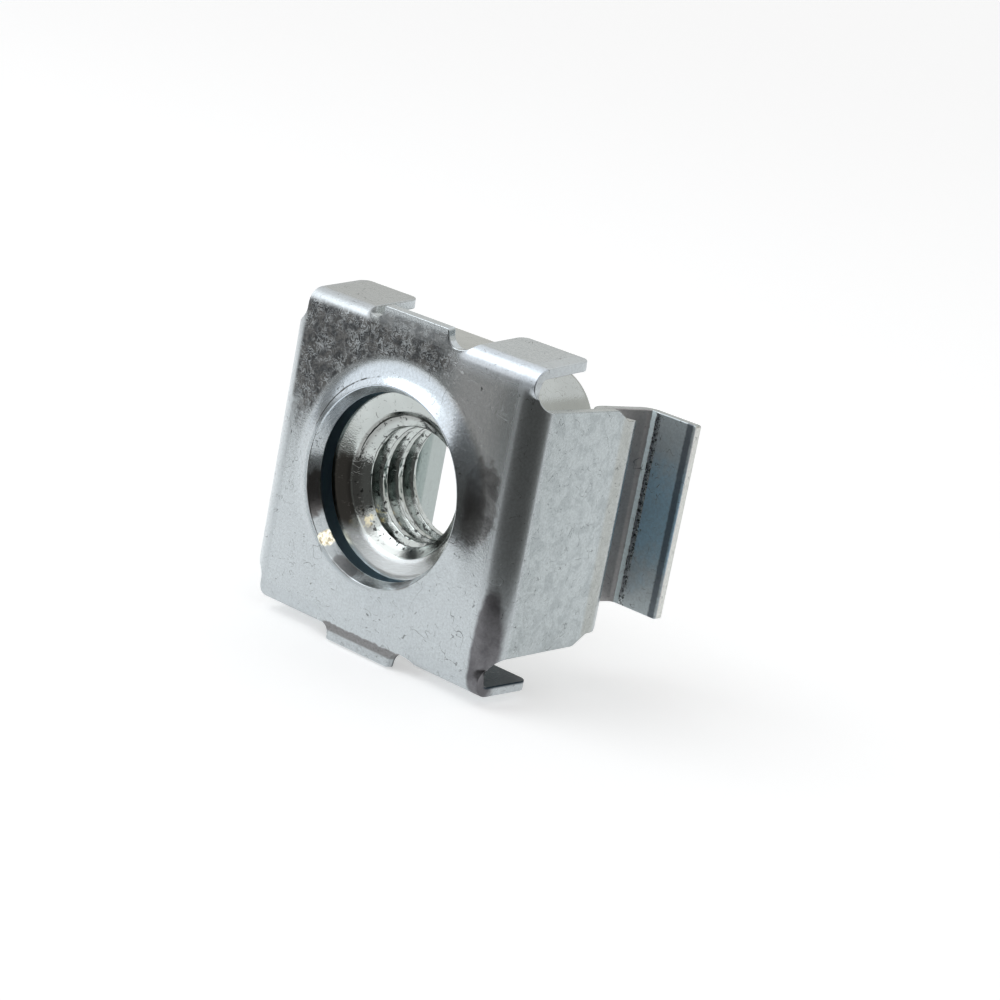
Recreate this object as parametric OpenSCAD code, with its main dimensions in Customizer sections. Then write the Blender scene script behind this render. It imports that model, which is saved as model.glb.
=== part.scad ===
// Caged nut for square-hole rack rails, in millimetres.
// A spring-steel cage is folded from one sheet round a loose square nut with an M6 thread.
// X runs across the two spring legs, +Z is up on the rail, and the screw axis is Y.
// The origin is on the screw axis, in the outer face of the cage's front plate. The legs
// reach back along +Y: their shoulders seat on the rail, their necks pass through its
// square hole and their lips hook over its far side.

/* [Sheet] */
// Thickness of the spring sheet
sheet_t = 0.45; // [0.35:0.05:0.6]
// Inside radius of the bend between the front plate and each leg
side_bend_r = 0.55; // [0.4:0.05:0.7]
// Inside radius of the bend at the root of each tab
tab_bend_r = 0.3; // [0.2:0.05:0.5]

/* [Front plate] */
// Gap between the nut's sides and each leg
leg_gap = 0.5; // [0.4:0.05:1]
// Gap between the nut's sides and the tabs
tab_gap = 0.4; // [0.3:0.05:0.65]
// Diameter of the round hole
hole_d = 8.1; // [7.9:0.1:8.4]
// Diameter of the foot of the raised rim round the hole
rim_d = 10.9; // [10.7:0.1:11.4]
// Slope of the rim's outer side
rim_outer_slope = 48; // [40:1:55]
// Slope of the rim's inner side
rim_inner_slope = 50; // [40:1:55]
// Straight length of the rim's outer side
rim_side = 0.3; // [0.2:0.05:0.4]
// Inside radius of the rim's two bends
rim_bend_r = 0.15; // [0.1:0.05:0.25]

/* [Tabs and tongues] */
// Distance from the middle to the inner end of each tab
tab_start = 3.1; // [3:0.05:3.4]
// Distance from the right leg's outer face in to the end of each right tab
right_tab_inset = 0.45; // [0.45:0.05:0.75]
// Distance from the left leg's outer face in to the end of each left tab
left_tab_inset = 0.8; // [0.55:0.05:0.85]
// Reach of each tab behind the plate's outer face
tab_reach = 3.4; // [2.4:0.1:4.2]
// Angle by which the upper tabs stay open
upper_tab_open = 6; // [0:0.5:8]
// Angle by which the lower tabs stay open
lower_tab_open = 0; // [0:0.5:8]
// Radius of the corners of each tab's tip
tab_corner_r = 0.45; // [0.2:0.05:0.8]
// Radius of the notches beside each tongue
notch_r = 0.5; // [0.4:0.05:0.6]
// Depth of the notches' floors below the tabs' outer faces
notch_depth = 0.38; // [0.3:0.01:0.4]
// Rise of the tongues over the tabs' outer faces
tongue_rise = 0.3; // [0.2:0.05:0.75]
// Outward lean of each tongue
tongue_lean = 9; // [4:1:14]
// Radius of the relief at each corner of the plate
relief_r = 0.75; // [0.65:0.05:0.8]
// Radius of the curve from each relief to the edge of its leg
leg_root_r = 0.85; // [0.7:0.05:0.9]

/* [Legs] */
// Step from the tabs' outer faces down to the edge of each leg at the plate
leg_step = 1.8; // [1.7:0.05:1.95]
// Amount by which each leg is lower where it starts to narrow
leg_taper = 0.2; // [0:0.05:0.4]
// Distance from the plate's outer face to the seat on the rail
seat_y = 7.55; // [7.2:0.05:9]
// Inside radius of the two shoulder bends
shoulder_bend_r = 0.65; // [0.5:0.05:0.75]
// Height of the shoulder at its bend
shoulder_h = 9.7; // [9.5:0.05:10]
// Length over which each leg narrows to its shoulder
narrowing = 0.8; // [0.6:0.05:1]
// Free angle by which the right leg stands open
right_splay = 0; // [0:1:10]
// Free angle by which the left leg stands open
left_splay = 9; // [0:1:10]

/* [Necks and lips] */
// Height of the necks and lips, which pass through the rail's square hole
neck_h = 9.05; // [8.8:0.05:9.3]
// Least width over the necks when both legs stand straight
neck_w = 9.2; // [9:0.1:9.8]
// Free angle by which each neck runs outwards
neck_flare = 14; // [8:1:18]
// Gap between the seat and the lip, which takes the rail's thickness
grip = 3.05; // [2.5:0.05:3.5]
// Inside radius of the bend between each neck and its lip
lip_bend_r = 0.3; // [0.2:0.05:0.4]
// Width over the lips when both legs stand straight
lip_w = 15.5; // [14.5:0.1:16.5]

/* [Nut] */
// Width of the square nut across its flats
nut_w = 12.8; // [12.4:0.1:13.1]
// Radius of the nut's corners
nut_corner_r = 2.6; // [2:0.1:3.4]
// Height of the nut without its collar
nut_h = 4.1; // [3.4:0.05:4.6]
// Bevel round the nut's square faces
nut_bevel = 0.15; // [0.1:0.05:0.4]
// Diameter of the round collar that faces the plate's hole
collar_d = 7.9; // [7.5:0.1:8.2]
// Height of the collar
collar_h = 0.4; // [0.3:0.05:0.6]
// Depth of the dish in the collar's face
collar_dish = 0.07; // [0.04:0.01:0.1]
// Gap between the plate's inner face and the collar
collar_gap = 0.31; // [0.25:0.01:0.6]
// Diameter of the bore at the crests of the M6 thread
bore_d = 5; // [4.9:0.02:5.16]
// Diameter of the countersink at each end of the thread
countersink_d = 6.3; // [6.1:0.05:6.6]

/* [Hidden] */
$fn = 48;
// A length beyond the whole part and a depth through the plate, for cutting shapes
far = 30;
cut = 4;
// Width over the two legs and height over the folded tabs
cage_w = nut_w + 2 * (leg_gap + sheet_t);
cage_h = nut_w + 2 * (tab_gap + sheet_t);
half_w = cage_w / 2;
half_h = cage_h / 2;
// Places of the tabs' ends, the notches and the tongues, from the screw axis
right_tab_end = half_w - right_tab_inset;
left_tab_end = half_w - left_tab_inset;
notch_floor = half_h - notch_depth;
tongue_reach = half_h + tongue_rise;
// Heights of each leg at the plate and where it starts to narrow
leg_h = cage_h - 2 * leg_step;
leg_rear_h = leg_h - leg_taper;
// Outside radii of the bends
side_r = side_bend_r + sheet_t;
tab_r = tab_bend_r + sheet_t;
shoulder_r = shoulder_bend_r + sheet_t;
// Heights on the plate at which the tabs and the tongues start to bend
tab_root = half_h - tab_r;
tongue_lead = 0.05;
tongue_root = notch_floor - tongue_lead;
// Middle of each notch beside a tongue, and its distance from the tab
notch_margin = 0.2;
notch_x = tab_start - notch_r - notch_margin;
// Height of the corner reliefs' centres, and its distance below the tabs' folds
relief_drop = 0.12;
relief_z = tab_root - relief_drop;
// Flat lengths along the leg's outer face, between its bends
leg_flat = seat_y - side_r - shoulder_r;
web_flat = half_w - shoulder_r - neck_w / 2 - shoulder_bend_r;
neck_bend = 90 + neck_flare;
lip_bend = 90 - neck_flare;
neck_rise = grip - shoulder_bend_r * (1 + sin(neck_flare)) - lip_bend_r * (1 - sin(neck_flare));
neck_flat = neck_rise / cos(neck_flare);
neck_end_x = neck_w / 2 + shoulder_bend_r * (1 - cos(neck_flare)) + neck_rise * tan(neck_flare);
lip_flat = lip_w / 2 - neck_end_x - lip_bend_r * cos(neck_flare);
// Places along the leg at which it narrows, measured from the end of its front bend
shoulder_lead = 0.15;
shoulder_start = leg_flat - shoulder_lead;
narrow_start = shoulder_start - narrowing;
web_front = leg_flat + shoulder_r - sheet_t;
// The nut's collar and its two square faces, along the screw axis
collar_y = sheet_t + collar_gap;
nut_front = collar_y + collar_h;
nut_rear = nut_front + nut_h;
nut_corner_reach = (nut_w / 2 - nut_corner_r) * sqrt(2) + nut_corner_r;

// The sheet's section round a bend. The bend's centre is the local origin, and the sheet
// arrives straight below it, heading right, and turns left through the angle.
module bend_sector(angle, inside_r) {
    outside_r = inside_r + sheet_t;
    reach = 2 * outside_r;
    intersection() {
        difference() {
            circle(outside_r);
            circle(inside_r);
        }
        translate([0, -reach]) square([reach, 2 * reach]);
        rotate(angle) translate([-reach, -reach]) square([reach, 2 * reach]);
    }
}

// A length of the sheet's section, with one face on the local X axis and the other at
// sheet_t, and then a bend to the left. The children follow on from the bend.
module bend_left(length, angle, inside_r) {
    outside_r = inside_r + sheet_t;
    square([length, sheet_t]);
    translate([length, outside_r]) {
        bend_sector(angle, inside_r);
        rotate(angle) translate([0, -outside_r]) children();
    }
}

// The same length, with a bend to the right.
module bend_right(length, angle, inside_r) {
    square([length, sheet_t]);
    translate([length, -inside_r]) {
        mirror([0, 1]) bend_sector(angle, inside_r);
        rotate(-angle) translate([0, inside_r]) children();
    }
}

// The outline whose upper half is given, from left to right, with its mirror image below.
module both_halves(upper) {
    last = len(upper) - 1;
    polygon(concat(upper, [for (i = [last:-1:0]) [upper[i][0], -upper[i][1]]]));
}

// Turns a section drawn with X up the plate and Y into the depth, and extruded over the
// given span, to its place across the plate.
module across(from, to) {
    translate([to, 0, 0]) rotate([0, -90, 0]) linear_extrude(to - from) children();
}

// One half of the plate with the side bend at its end.
module plate_half(splay) {
    difference() {
        linear_extrude(2 * relief_z, center = true)
            bend_left(half_w - side_r, 90 - splay, side_bend_r);
        leg_root();
        mirror([0, 0, 1]) leg_root();
    }
}

// What the curve at the leg's root leaves out, past the middle of the bend, so that the
// bend comes down to the leg's own height.
module leg_root() {
    centre = leg_h / 2 + leg_root_r;
    intersection() {
        translate([half_w - side_r, side_r, 0]) rotate(-45) translate([0, 0, -far / 2]) cube(far);
        across(0, cage_w) {
            translate([centre, side_r]) circle(leg_root_r);
            translate([leg_h / 2, side_r]) square(cage_h);
            translate([centre, -1]) square(cage_h);
        }
    }
}

// One leg with its shoulder, neck and lip, drawn along X from the end of its front bend.
module leg() {
    intersection() {
        linear_extrude(leg_h, center = true)
            bend_left(leg_flat, 90, shoulder_bend_r)
            bend_right(web_flat, neck_bend, shoulder_bend_r)
            bend_right(neck_flat, lip_bend, lip_bend_r)
            square([lip_flat, sheet_t]);
        rotate([90, 0, 0]) linear_extrude(2 * far, center = true) both_halves([
            [0, leg_h / 2],
            [narrow_start, leg_rear_h / 2],
            [shoulder_start, shoulder_h / 2],
            [leg_flat + shoulder_bend_r / 2, shoulder_h / 2],
            [web_front, neck_h / 2],
            [far, neck_h / 2],
        ]);
    }
}

// One side of the cage: half of the plate, its bend and the leg on it.
module cage_side(splay) {
    plate_half(splay);
    translate([half_w - side_r, side_r, 0]) rotate(90 - splay) translate([0, -side_r, 0]) leg();
}

// One tab, folded back from the plate's upper edge on the right.
module tab(open, end) {
    angle = 90 - open;
    flat_length = (tab_reach - tab_r * (1 - cos(angle))) / sin(angle);
    intersection() {
        translate([0, 0, tab_root]) across(tab_start, end)
            bend_left(0.02, angle, tab_bend_r) square([flat_length, sheet_t]);
        linear_extrude(far) difference() {
            translate([0, -1]) square([half_w, tab_reach + 2]);
            translate([tab_start, tab_reach]) corner_cutter(tab_corner_r);
            translate([end, tab_reach]) mirror([1, 0]) corner_cutter(tab_corner_r);
        }
    }
}

// What a rounded corner leaves out, for a corner at the local origin.
module corner_cutter(radius) {
    difference() {
        translate([-1, -radius]) square([radius + 1, radius + 1]);
        translate([radius, -radius]) circle(radius);
    }
}

// The strip above the reliefs, the tongue in its middle and the notches beside the tongue.
module plate_head() {
    translate([-left_tab_end, 0, relief_z])
        cube([left_tab_end + right_tab_end, sheet_t, tab_root + 0.02 - relief_z]);
    difference() {
        translate([0, 0, tab_root]) across(-tab_start, tab_start)
            bend_right(tongue_root - tab_root, tongue_lean, tab_bend_r)
            square([(tongue_reach - tongue_root) / cos(tongue_lean), sheet_t]);
        for (side = [0, 1]) mirror([side, 0, 0]) {
            translate([notch_x, 0, notch_floor + notch_r]) {
                rotate([90, 0, 0]) cylinder(h = cut, r = notch_r, center = true);
                translate([-notch_r, -cut / 2, 0]) cube([2 * notch_r, cut, cut]);
            }
            // On the tab's side the notch opens out over the tab's fold
            translate([notch_x, -cut / 2, notch_floor]) cube([cut, cut, cut]);
        }
    }
}

// The raised rim round the hole, with the sheet's own thickness.
module hole_rim() {
    rotate([-90, 0, 0]) rotate_extrude() intersection() {
        translate([rim_d / 2 + 0.02, 0]) mirror([1, 0])
            bend_right(0.02, rim_outer_slope, rim_bend_r)
            bend_left(rim_side, rim_outer_slope + rim_inner_slope, rim_bend_r)
            square([1.5, sheet_t]);
        translate([hole_d / 2, -cut / 2]) square([rim_d, cut]);
    }
}

module spring_cage() {
    color([0.78, 0.8, 0.82]) {
        difference() {
            union() {
                cage_side(right_splay);
                mirror([1, 0, 0]) cage_side(left_splay);
                plate_head();
                mirror([0, 0, 1]) plate_head();
                tab(upper_tab_open, right_tab_end);
                mirror([0, 0, 1]) tab(lower_tab_open, right_tab_end);
                mirror([1, 0, 0]) {
                    tab(upper_tab_open, left_tab_end);
                    mirror([0, 0, 1]) tab(lower_tab_open, left_tab_end);
                }
            }
            rotate([90, 0, 0]) cylinder(h = cut, d = rim_d, center = true);
            for (x = [right_tab_end + relief_r, -left_tab_end - relief_r])
                for (z = [-relief_z, relief_z])
                    translate([x, 0, z])
                        rotate([90, 0, 0]) cylinder(h = cut, r = relief_r, center = true);
        }
        hole_rim();
    }
}

// The nut is drawn along Z and turned onto the screw axis.
module square_nut() {
    half = nut_w / 2;
    core = half - nut_corner_r;
    color([0.8, 0.82, 0.8]) rotate([-90, 0, 0]) difference() {
        union() {
            intersection() {
                translate([0, 0, nut_front]) linear_extrude(nut_h) {
                    square([nut_w, 2 * core], center = true);
                    square([2 * core, nut_w], center = true);
                    for (x = [-core, core]) for (y = [-core, core])
                        translate([x, y]) circle(nut_corner_r);
                }
                rotate([90, 0, 0]) bevelled_bar(half);
                rotate([90, 0, 90]) bevelled_bar(half);
                rotate_extrude() bevelled_section(0, nut_corner_reach);
            }
            translate([0, 0, collar_y]) cylinder(h = collar_h + 0.1, d = collar_d);
        }
        translate([0, 0, collar_y - 1]) cylinder(h = nut_rear - collar_y + 2, d = bore_d);
        translate([0, 0, collar_y]) cylinder(h = collar_dish, d1 = collar_d, d2 = countersink_d);
        translate([0, 0, collar_y + collar_dish]) countersink();
        translate([0, 0, nut_rear]) mirror([0, 0, 1]) countersink();
    }
}

// A bar as wide as the nut, bevelled along its length.
module bevelled_bar(half) {
    linear_extrude(far, center = true) bevelled_section(-half, half);
}

// The section between the nut's square faces, from one bevelled edge to the other or to the axis.
module bevelled_section(from, to) {
    polygon([
        [from == 0 ? 0 : from + nut_bevel, nut_front],
        [to - nut_bevel, nut_front],
        [to, nut_front + nut_bevel],
        [to, nut_rear - nut_bevel],
        [to - nut_bevel, nut_rear],
        [from == 0 ? 0 : from + nut_bevel, nut_rear],
        [from, nut_rear - nut_bevel],
        [from, nut_front + nut_bevel],
    ]);
}

// The cone at one end of the thread, which opens downwards from the local origin.
module countersink() {
    depth = (countersink_d - bore_d) / 2;
    cylinder(h = depth, d1 = countersink_d, d2 = bore_d);
}

spring_cage();
square_nut();
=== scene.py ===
import math

import bpy
import numpy as np
from mathutils import Matrix, Vector, noise
from mathutils.geometry import delaunay_2d_cdt


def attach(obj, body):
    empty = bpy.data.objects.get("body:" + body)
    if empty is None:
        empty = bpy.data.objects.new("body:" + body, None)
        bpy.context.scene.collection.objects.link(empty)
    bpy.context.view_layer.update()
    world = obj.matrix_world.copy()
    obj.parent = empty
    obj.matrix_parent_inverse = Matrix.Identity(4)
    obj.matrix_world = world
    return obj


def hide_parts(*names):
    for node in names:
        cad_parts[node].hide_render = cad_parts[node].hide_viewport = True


bl_info = {
    "name": "Rack cage nut",
    "version": (1, 0, 0),
    "blender": (4, 5, 0),
    "location": "3D View > Sidebar > Cage nut",
    "description": "Folds the spring cage, cuts the square nut and sets them on a pale stage",
    "category": "Object",
}

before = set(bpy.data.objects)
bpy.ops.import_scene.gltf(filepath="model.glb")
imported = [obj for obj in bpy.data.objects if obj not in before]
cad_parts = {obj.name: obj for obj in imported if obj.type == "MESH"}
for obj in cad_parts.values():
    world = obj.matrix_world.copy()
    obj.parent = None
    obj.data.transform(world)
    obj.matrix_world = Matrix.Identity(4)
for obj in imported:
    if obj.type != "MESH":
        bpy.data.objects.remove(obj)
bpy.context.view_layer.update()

MM = 0.001
TAU = 2 * math.pi


# ---------------------------------------------------------------- sizes and finishes

class SheetSizes(bpy.types.PropertyGroup):
    """Sizes of the folded spring sheet, in millimetres."""
    thickness: bpy.props.FloatProperty(
        name="Thickness", description="Thickness of the sheet in mm", default=0.45, min=0.1)
    edge_round: bpy.props.FloatProperty(
        name="Edge rounding", description="Radius left on the sheared edges in mm", default=0.045)
    upper_tab_open: bpy.props.FloatProperty(
        name="Upper tabs open", description="Angle by which the upper tabs stay open",
        default=math.radians(6), subtype="ANGLE", unit="ROTATION")
    left_splay: bpy.props.FloatProperty(
        name="Left leg lean", description="Free outward lean of the left leg",
        default=math.radians(9), subtype="ANGLE", unit="ROTATION")


class NutSizes(bpy.types.PropertyGroup):
    """Sizes of the square nut and its thread, in millimetres."""
    width: bpy.props.FloatProperty(
        name="Width", description="Width across the flats in mm", default=12.8, min=8)
    corner_r: bpy.props.FloatProperty(
        name="Corner radius", description="Radius of the nut's corners in mm", default=2.6)
    pitch: bpy.props.FloatProperty(
        name="Pitch", description="Pitch of the thread in mm", default=1.0, min=0.2)
    crest_r: bpy.props.FloatProperty(
        name="Crest radius", description="Radius of the thread's crests in mm", default=2.55)
    root_r: bpy.props.FloatProperty(
        name="Root radius", description="Radius of the thread's roots in mm", default=3.06)


class Finishes(bpy.types.PropertyGroup):
    """Colours of the plating and of the stage."""
    zinc: bpy.props.FloatVectorProperty(
        name="Zinc", description="Colour of the bright plating", subtype="COLOR", size=4,
        default=(0.67, 0.72, 0.745, 1), min=0, max=1)
    nut_zinc: bpy.props.FloatVectorProperty(
        name="Nut zinc", description="Colour of the nut's plating", subtype="COLOR", size=4,
        default=(0.60, 0.64, 0.625, 1), min=0, max=1)
    floor: bpy.props.FloatVectorProperty(
        name="Floor", description="Colour of the floor", subtype="COLOR", size=4,
        default=(0.8, 0.8, 0.8, 1), min=0, max=1)


def smoothstep(value, low, high):
    """Rises smoothly from 0 at the low value to 1 at the high one."""
    t = np.clip((value - low) / (high - low), 0, 1)
    return t * t * (3 - 2 * t)


# ---------------------------------------------------------------- the folded sheet

def bend(angle, inside_r, turn, thickness):
    """A bend of the sheet's middle layer: its length and its signed curvature."""
    middle_r = inside_r + thickness / 2
    return (middle_r * angle, turn / middle_r)


def walk(segments, s, thickness):
    """Where the sheet's middle layer is after a length s along a chain of flats and bends."""
    x, y = np.zeros_like(s), np.zeros_like(s)
    px, py, heading, start = 0.0, thickness / 2, 0.0, 0.0
    for i, (length, curve) in enumerate(segments):
        t = s - start if i == len(segments) - 1 else np.minimum(s - start, length)
        here = s >= start
        if curve == 0:
            nx, ny = px + t * math.cos(heading), py + t * math.sin(heading)
            px, py = px + length * math.cos(heading), py + length * math.sin(heading)
        else:
            turned = heading + curve * t
            nx = px + (np.sin(turned) - math.sin(heading)) / curve
            ny = py - (np.cos(turned) - math.cos(heading)) / curve
            after = heading + curve * length
            px += (math.sin(after) - math.sin(heading)) / curve
            py -= (math.cos(after) - math.cos(heading)) / curve
            heading = after
        x, y = np.where(here, nx, x), np.where(here, ny, y)
        start += length
    return x, y


# All lengths and places from here on are in mm.
# The legs: inside radii of the bends, the flats between them and how far the neck leans outwards
SIDE_START, SIDE_R, SHOULDER_R, LIP_R = 6.35, 0.55, 0.65, 0.3
LEG_FLAT, WEB_FLAT, NECK_FLAT, LIP_FLAT = 5.45, 1.0, 2.077, 2.337
FLARE = math.radians(14)
# The tabs and the tongues between them
TAB_ROOT, TAB_R, TAB_REACH = 6.5, 0.3, 3.4
TAB_START, RIGHT_TAB_END, LEFT_TAB_END = 3.1, 6.95, 6.5
TONGUE_ROOT, TONGUE_LEAN, TONGUE_HALF, TONGUE_END = 6.82, math.radians(9), 1.9, 7.64
# Where the sheet passes from a tongue's fold to a tab's, and from the plate to both
TONGUE_SIDE, TAB_SIDE = 2.5, 3.05
HEAD_START, HEAD_END, HEAD_HALF = 5.95, 6.45, 7.2
# The notches beside the tongues and the reliefs at the plate's corners
NOTCH_X, NOTCH_R, NOTCH_FLOOR, LEFT_NOTCH_FLOOR = 2.4, 0.5, 6.87, 7.03
RELIEF_SIDE, RELIEF_TOP, RELIEF_FLOOR = 0.12, 6.25, 5.45
# Half heights of the blank along a leg, at the web and at the neck
LEG_HALF, WEB_HALF, NECK_HALF = 5.35, 4.85, 4.525
# The rim: where it starts, its radii, how steeply each face turns, and the walls inside the crest
RIM_START, RISE_R, CREST_R, INNER_CREST_R = 5.7, 1.9, 0.06, 0.03
OUTER_RISE, INNER_RISE, RIM_FALL = math.radians(40), math.radians(28.4), math.radians(62)
OUTER_WALL, INNER_WALL = 0.6, 0.15
# Points round the hole, and the step between points along the outline
HOLE_POINTS, OUTLINE_STEP = 180, 0.14


class FoldMap:
    """Maps the flat blank (a across, b up, depth n under the outer face) to the folded cage."""

    def __init__(self, sheet):
        t = self.t = sheet.thickness
        quarter = math.pi / 2
        self.leg_chain = {}
        for side, lean in ((1, 0.0), (-1, sheet.left_splay)):
            self.leg_chain[side] = [
                (SIDE_START, 0), bend(quarter - lean, SIDE_R, 1, t),
                (LEG_FLAT, 0), bend(quarter, SHOULDER_R, 1, t),
                (WEB_FLAT, 0), bend(quarter + FLARE, SHOULDER_R, -1, t),
                (NECK_FLAT, 0), bend(quarter - FLARE, LIP_R, -1, t),
                (LIP_FLAT, 0)]
        self.tab_chain = {}
        for side, open_angle in ((1, sheet.upper_tab_open), (-1, 0.0)):
            angle = quarter - open_angle
            outer = TAB_R + t
            flat = (TAB_REACH - outer * (1 - math.cos(angle))) / math.sin(angle)
            self.tab_chain[side] = [(TAB_ROOT, 0), bend(angle, TAB_R, 1, t), (flat, 0)]
        self.tongue_chain = [
            (TONGUE_ROOT, 0), bend(TONGUE_LEAN, TAB_R, -1, t), (1.0, 0)]
        # The rim is coined: its outer face rises to a sharp crest, and its inner face has its own bend
        self.rim_outer = [
            bend(OUTER_RISE, RISE_R - t / 2, -1, t),
            bend(OUTER_RISE + RIM_FALL, CREST_R - t / 2, 1, t), (OUTER_WALL, 0)]
        self.rim_inner = [
            bend(INNER_RISE, RISE_R + t / 2, -1, t),
            bend(INNER_RISE + RIM_FALL, INNER_CREST_R - t / 2, 1, t), (INNER_WALL, 0)]

    def middle(self, a, b):
        """The sheet's middle layer."""
        t = self.t
        size_a, size_b = np.abs(a), np.abs(b)
        x, y = np.zeros_like(a), np.zeros_like(a)
        for side in (1, -1):
            cx, cy = walk(self.leg_chain[side], size_a, t)
            here = a * side >= 0
            x, y = np.where(here, side * cx, x), np.where(here, cy, y)
        leg = np.stack([x, y, b], -1)
        head_z, head_y = np.zeros_like(a), np.zeros_like(a)
        tongue_z, tongue_y = walk(self.tongue_chain, size_b, t)
        folded = smoothstep(size_a, TONGUE_SIDE, TAB_SIDE)
        for side in (1, -1):
            tab_z, tab_y = walk(self.tab_chain[side], size_b, t)
            here = b * side >= 0
            mix_z = tongue_z + (tab_z - tongue_z) * folded
            mix_y = tongue_y + (tab_y - tongue_y) * folded
            head_z, head_y = np.where(here, side * mix_z, head_z), np.where(here, mix_y, head_y)
        head = np.stack([a, head_y, head_z], -1)
        share = smoothstep(size_b, HEAD_START, HEAD_END) * (size_a < HEAD_HALF)
        return leg + (head - leg) * share[..., None]

    def rim_layer(self, a, b, depth):
        """The raised rim, turned about the screw axis, at a depth under its outer face."""
        radius = np.hypot(a, b)
        travel = np.maximum(RIM_START - radius, 0)
        stops = np.cumsum([0] + [length for length, curve in self.rim_outer])
        inner_stops = np.cumsum([0] + [length for length, curve in self.rim_inner])
        outer_x, outer_y = walk(self.rim_outer, travel, 0)
        inner_x, inner_y = walk(self.rim_inner, np.interp(travel, stops, inner_stops), 0)
        share = depth / self.t
        shift = outer_x + (inner_x - outer_x) * share
        y = outer_y + (inner_y + self.t - outer_y) * share
        turned = (RIM_START - shift) / np.maximum(radius, 1e-6)
        return np.stack([a * turned, y, b * turned], -1)

    def place(self, a, b, depth):
        """Points at a depth under the outer face, their tangents and the outward normals."""
        h = 1e-4  # half the distance over which a slope is measured
        middle = self.middle(a, b)
        da = (self.middle(a + h, b) - self.middle(a - h, b)) / (2 * h)
        db = (self.middle(a, b + h) - self.middle(a, b - h)) / (2 * h)
        rim_a = (self.rim_layer(a + h, b, depth) - self.rim_layer(a - h, b, depth)) / (2 * h)
        rim_b = (self.rim_layer(a, b + h, depth) - self.rim_layer(a, b - h, depth)) / (2 * h)
        inside = (np.hypot(a, b) < RIM_START)[..., None]
        da, db = np.where(inside, rim_a, da), np.where(inside, rim_b, db)
        normal = np.cross(da, db)
        normal /= np.linalg.norm(normal, axis=-1)[..., None]
        layer = middle - (depth - self.t / 2) * normal
        return np.where(inside, self.rim_layer(a, b, depth), layer), da, db, normal

    def hole_radius(self):
        """The radius of the hole in the flat blank."""
        return RIM_START - sum(length for length, curve in self.rim_outer)


def fillet(points, step=math.radians(9)):
    """Rounds the corners of a closed outline. Each point is (x, y, radius)."""
    rounded = []
    count = len(points)
    for i, (x, y, radius) in enumerate(points):
        here = np.array([x, y])
        before = np.array(points[i - 1][:2]) - here
        after = np.array(points[(i + 1) % count][:2]) - here
        length_before, length_after = np.linalg.norm(before), np.linalg.norm(after)
        before, after = before / length_before, after / length_after
        corner = math.acos(max(-1, min(1, float(before @ after))))
        if radius <= 0 or math.pi - corner < 1e-3:
            rounded.append(here)
            continue
        reach = min(radius / math.tan(corner / 2), 0.49 * length_before, 0.49 * length_after)
        radius = reach * math.tan(corner / 2)
        middle = before + after
        centre = here + middle / np.linalg.norm(middle) * radius / math.sin(corner / 2)
        start, end = here + before * reach - centre, here + after * reach - centre
        turn = math.atan2(start[0] * end[1] - start[1] * end[0], float(start @ end))
        parts = max(2, int(abs(turn) / step))
        for k in range(parts + 1):
            angle = turn * k / parts
            c, s = math.cos(angle), math.sin(angle)
            rounded.append(centre + np.array([c * start[0] - s * start[1],
                                              s * start[0] + c * start[1]]))
    return np.array(rounded)


def resample(loop, step):
    """Adds points along the long sides of a closed outline."""
    out = []
    for i in range(len(loop)):
        a, b = loop[i], loop[(i + 1) % len(loop)]
        parts = max(1, int(math.ceil(np.linalg.norm(b - a) / step)))
        out += [a + (b - a) * k / parts for k in range(parts)]
    out = np.array(out)
    keep = np.linalg.norm(out - np.roll(out, 1, 0), axis=1) > 1e-4
    return out[keep]


def quarter_arc(middle_a, middle_b, half_a, half_b, steps, parts):
    """Points of a quarter of an ellipse, from its left end to its lowest one."""
    turns = [math.pi + math.pi / 2 * k / parts for k in steps]
    return [(middle_a + half_a * math.cos(turn), middle_b + half_b * math.sin(turn), 0)
            for turn in turns]


def quarter_outline(side, fold):
    """The upper half of the blank's outline on one side, from the tongue to the lip.

    Each point is its place across and up, and the radius of the corner there.
    """
    tab_end = RIGHT_TAB_END if side > 0 else LEFT_TAB_END
    floor = NOTCH_FLOOR if side > 0 else LEFT_NOTCH_FLOOR
    tab_length = sum(length for length, curve in fold.tab_chain[1])
    chain = fold.leg_chain[side]
    leg = SIDE_START + chain[1][0]
    shoulder = leg + LEG_FLAT
    tip = sum(length for length, curve in chain)
    middle_r = SHOULDER_R + fold.t / 2
    points = [(TONGUE_HALF, TONGUE_END, 0.1), (TONGUE_HALF, 7.3, 0)]
    points += quarter_arc(NOTCH_X, floor + NOTCH_R, NOTCH_R, NOTCH_R, range(1, 8), 7)
    points += [
        (TAB_START, floor + 0.05, 0.4),
        (TAB_START, tab_length, 0.45), (tab_end, tab_length, 0.45), (tab_end, 6.4, 0.3)]
    # The relief runs from the tab's end round to the leg's edge
    relief_a = leg + RELIEF_SIDE
    points += quarter_arc(
        relief_a, RELIEF_TOP, relief_a - tab_end, RELIEF_TOP - RELIEF_FLOOR, range(13), 12)
    points += [
        (leg + 4.5, LEG_HALF, 0.3), (leg + 5.3, WEB_HALF, 0.25),
        (shoulder + middle_r * 0.38, WEB_HALF - 0.01, 0.2),
        (shoulder + middle_r * 0.84, NECK_HALF, 0.3), (tip, NECK_HALF, 0.12)]
    return points


def blank_outline(fold):
    """The whole outline of the blank, counter-clockwise."""
    right, left = quarter_outline(1, fold), quarter_outline(-1, fold)
    loop = [(a, -b, r) for a, b, r in right] + [(a, b, r) for a, b, r in right[::-1]]
    loop += [(-a, b, r) for a, b, r in left] + [(-a, -b, r) for a, b, r in left[::-1]]
    return resample(fillet(loop), OUTLINE_STEP)


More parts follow.
